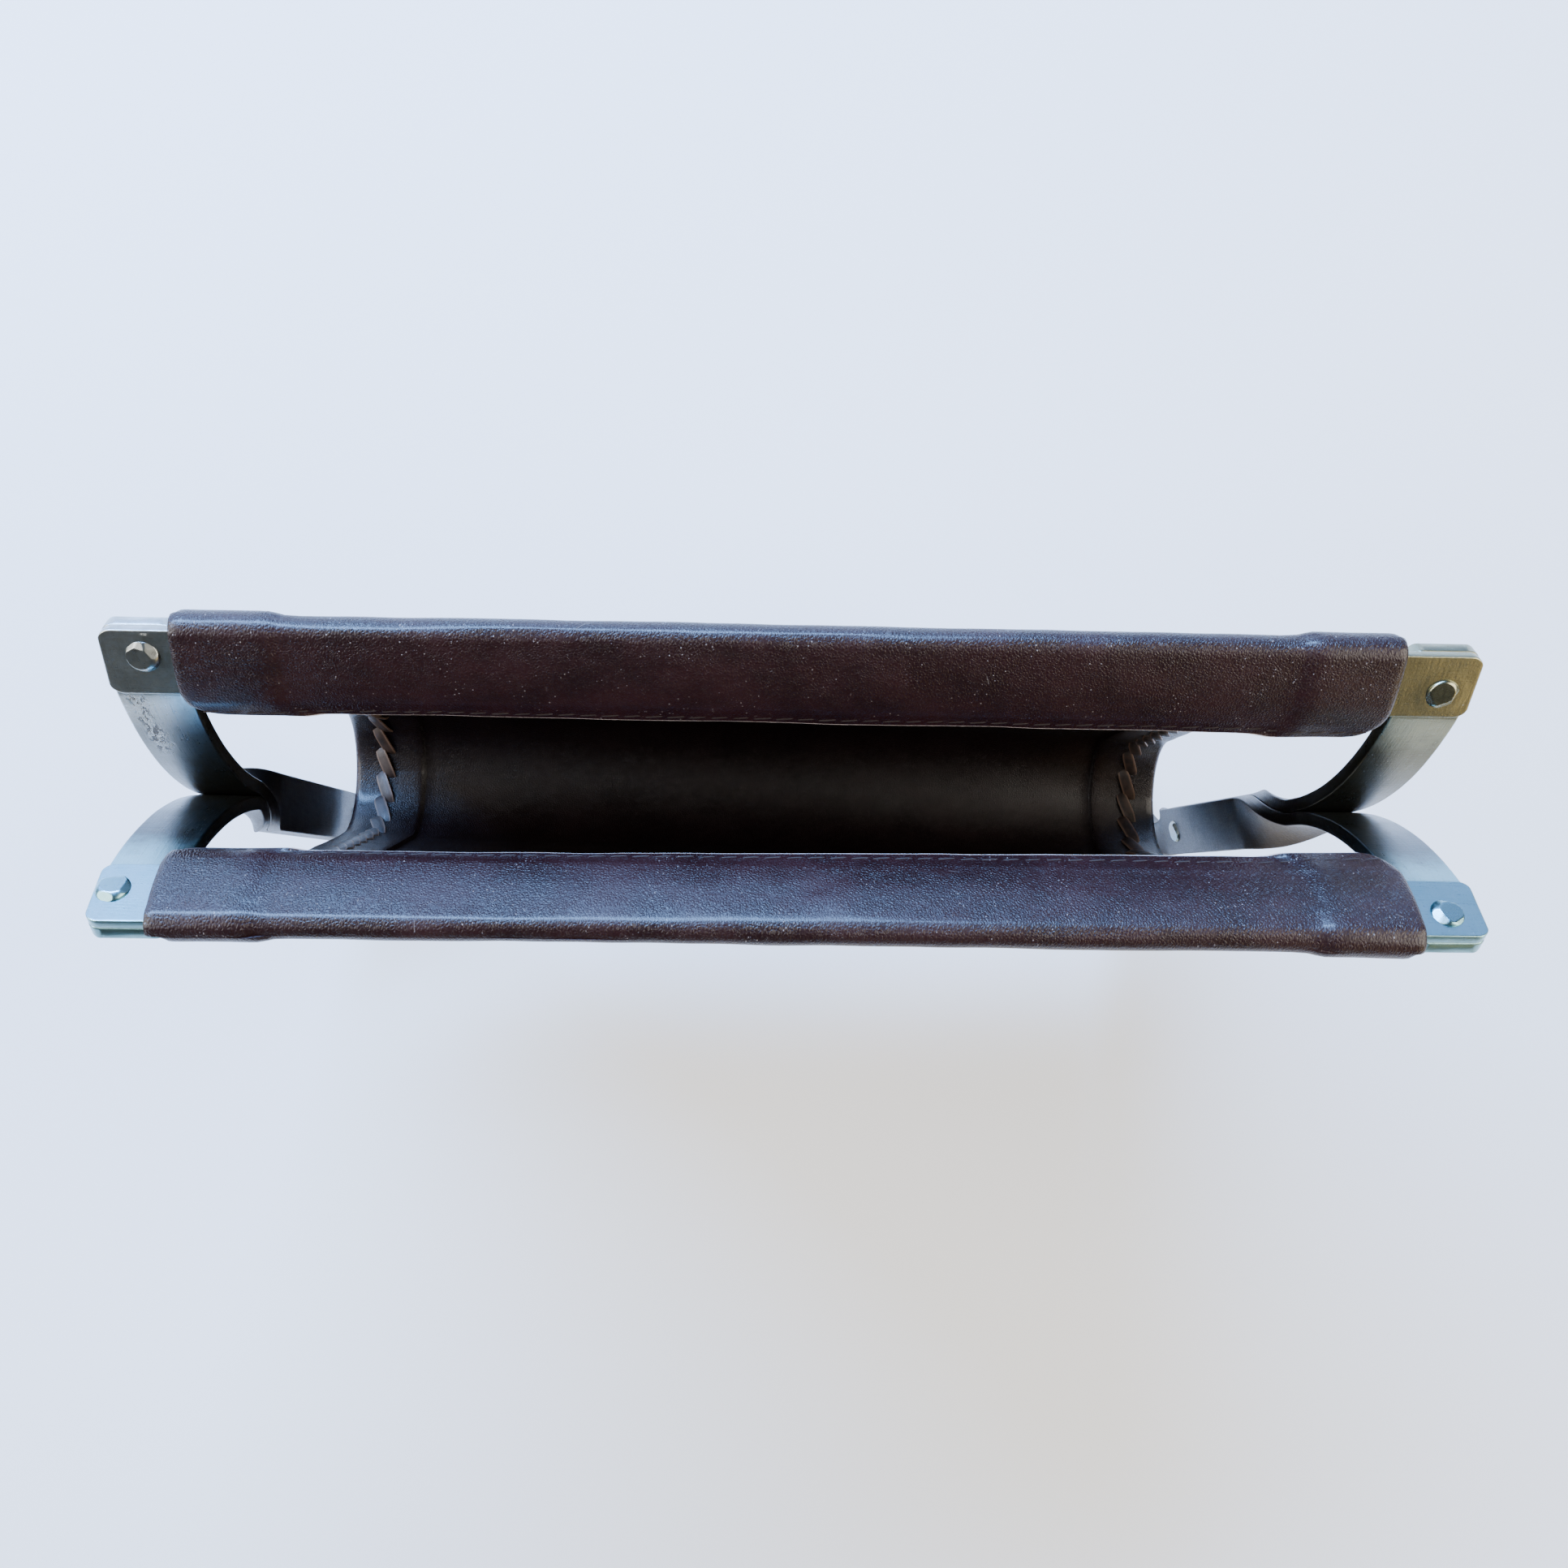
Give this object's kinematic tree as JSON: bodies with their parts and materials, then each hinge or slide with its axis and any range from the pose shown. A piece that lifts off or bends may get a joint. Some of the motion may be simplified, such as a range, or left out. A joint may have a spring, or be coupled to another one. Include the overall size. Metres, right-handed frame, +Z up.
{
  "type": "magazine rack",
  "caption": "Free-standing magazine rack: a leather sling hung from two flat rails on twisted iron straps with hammered rivets and laced hems.",
  "frame": {"origin": "on the floor, under the middle of the rack", "axes": "+X along the rails to the right, +Y to the rear, +Z up"},
  "size_m": [0.3766, 0.0916, 0.3432],
  "materials": {
    "iron": "hand-filed satin iron with a faint warm grey patina",
    "rivet": "hammered, satin",
    "hide": "dark oxblood brown, waxed satin grain",
    "hem": "dark brown skived leather, satin",
    "thong": "tan-brown lacing with cut edges",
    "thread": "waxed linen"
  },
  "bodies": {
    "root": {"rail_rear": "iron", "rail_front": "iron", "strap_rear_left": "iron", "strap_front_left": "iron", "strap_rear_right": "iron", "strap_front_right": "iron", "rivet_rear_left": "rivet", "rivet_front_left": "rivet", "rivet_rear_right": "rivet", "rivet_front_right": "rivet", "stem_rivet_left": "rivet", "stem_rivet_right": "rivet", "sling_panel": "hide", "sleeve_rear": "hide", "sleeve_front": "hide", "hem_left": "hem", "hem_right": "hem", "lacing_left": "thong", "lacing_right": "thong", "seam_thread_rear": "thread", "seam_thread_front": "thread"}
  },
  "joints": []
}
